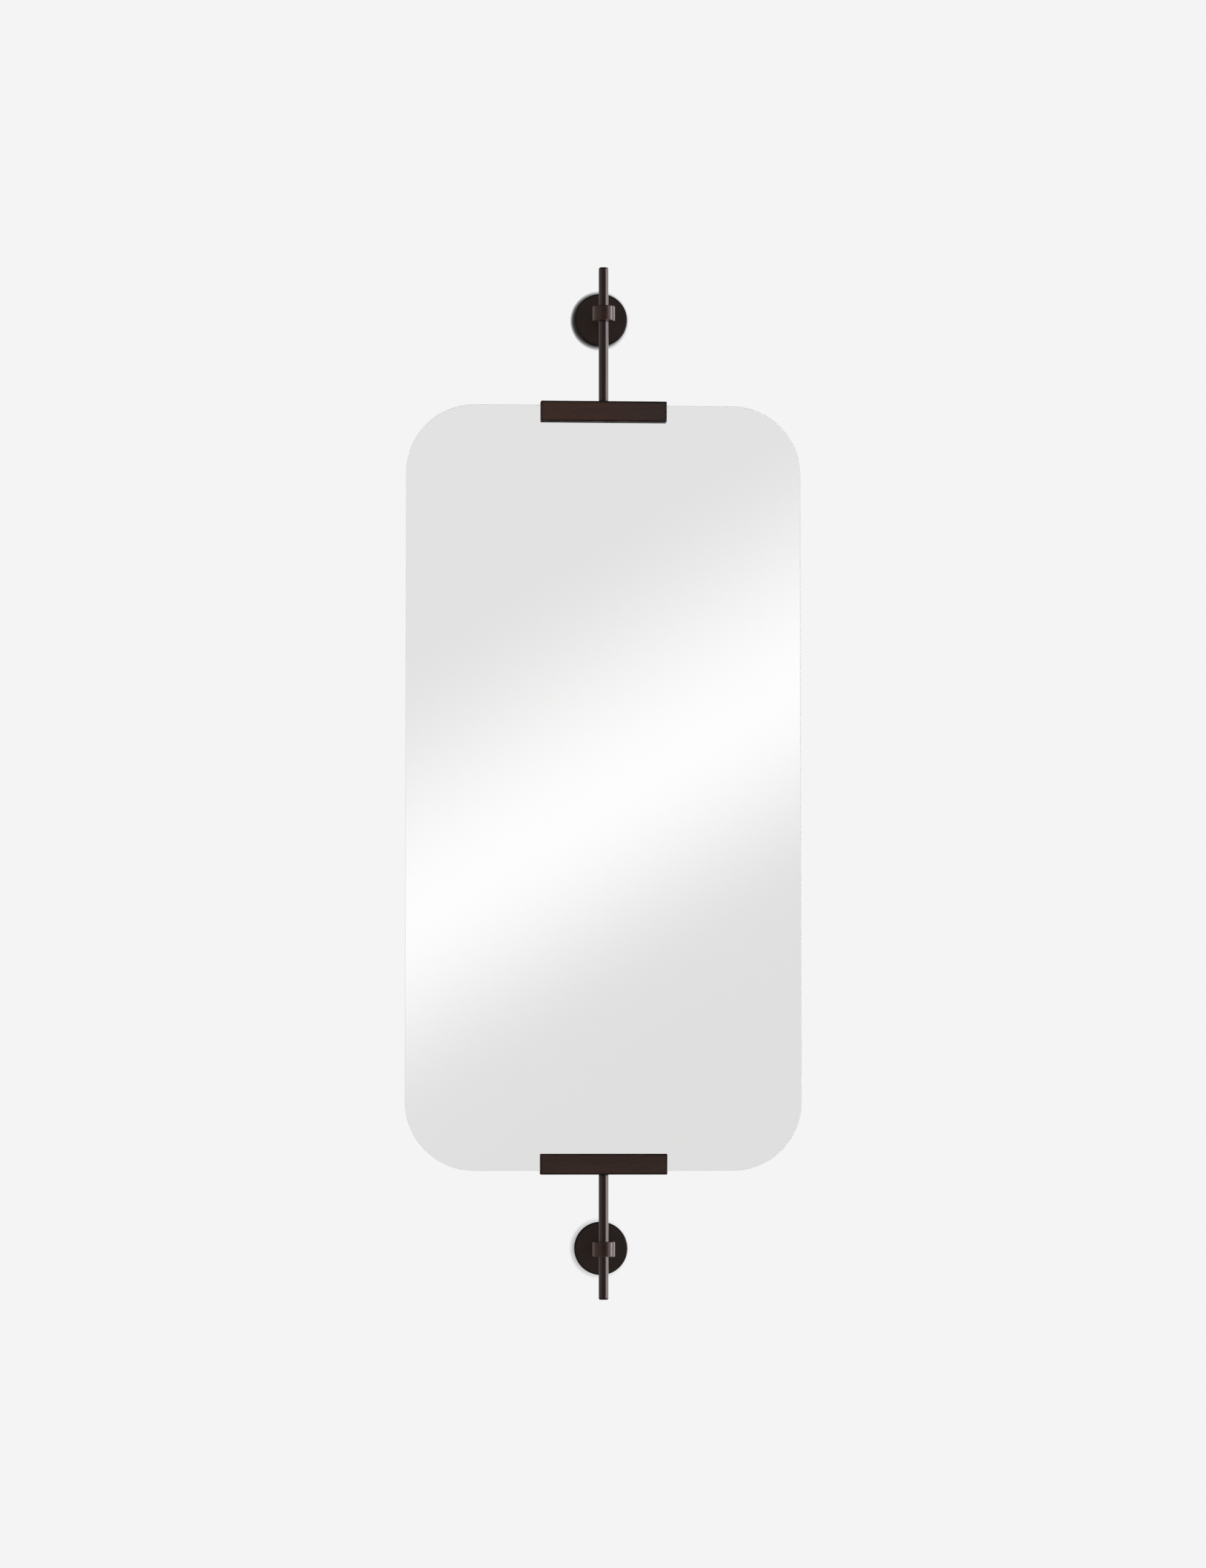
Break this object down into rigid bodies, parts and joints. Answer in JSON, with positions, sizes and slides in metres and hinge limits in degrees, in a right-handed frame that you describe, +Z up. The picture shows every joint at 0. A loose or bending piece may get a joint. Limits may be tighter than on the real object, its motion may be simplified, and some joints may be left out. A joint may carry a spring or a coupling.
{
  "type": "pivot wall mirror",
  "caption": "Frameless wall mirror with rounded corners, swinging about upright rods held off the wall by collars and round plates.",
  "frame": {"origin": "on the wall plane, at the centre of the four wall-screw holes, midway between the two wall plates", "axes": "+Z up along the rods, +X to the viewer's right, the mirror faces -Y and the wall is on its +Y side"},
  "size_m": [0.61, 0.0925, 1.593],
  "materials": {
    "mirror": "polished silvered glass with an arrissed edge",
    "safety_film": "grey backing coat under a safety film",
    "dark_bronze": "satin dark bronze patina",
    "steel": "zinc-plated steel",
    "bearing_bronze": "sintered bearing bronze",
    "rubber": "matt black rubber",
    "nylon": "natural nylon",
    "aluminium": "mill finish"
  },
  "bodies": {
    "wall_brackets": {"top_mounting_disc": "steel", "top_wall_plate": "dark_bronze", "top_plate_grub_screw": "steel", "top_post": "dark_bronze", "top_post_screw": "steel", "top_collar": "dark_bronze", "top_bush": "bearing_bronze", "top_friction_screw": "steel", "top_friction_pad": "nylon", "top_retaining_screw": "steel", "bottom_mounting_disc": "steel", "bottom_wall_plate": "dark_bronze", "bottom_plate_grub_screw": "steel", "bottom_post": "dark_bronze", "bottom_post_screw": "steel", "bottom_collar": "dark_bronze", "bottom_bush": "bearing_bronze", "bottom_friction_screw": "steel", "bottom_friction_pad": "nylon", "bottom_retaining_screw": "steel"},
    "mirror_leaf": {"mirror_glass": "mirror", "mirror_backing": "safety_film", "top_rod": "dark_bronze", "top_rod_stud": "steel", "top_clamp_bar": "dark_bronze", "top_edge_liner": "rubber", "top_pressure_strip": "aluminium", "top_clamp_screws": "steel", "bottom_rod": "dark_bronze", "bottom_rod_stud": "steel", "bottom_clamp_bar": "dark_bronze", "bottom_edge_liner": "rubber", "bottom_pressure_strip": "aluminium", "bottom_clamp_screws": "steel"}
  },
  "joints": [
    {"name": "mirror_swing", "type": "hinge", "parent": "wall_brackets", "child": "mirror_leaf", "pos_m": [0, -0.075, 0], "axis": [0, 0, 1], "range_deg": [-13, 13]}
  ]
}
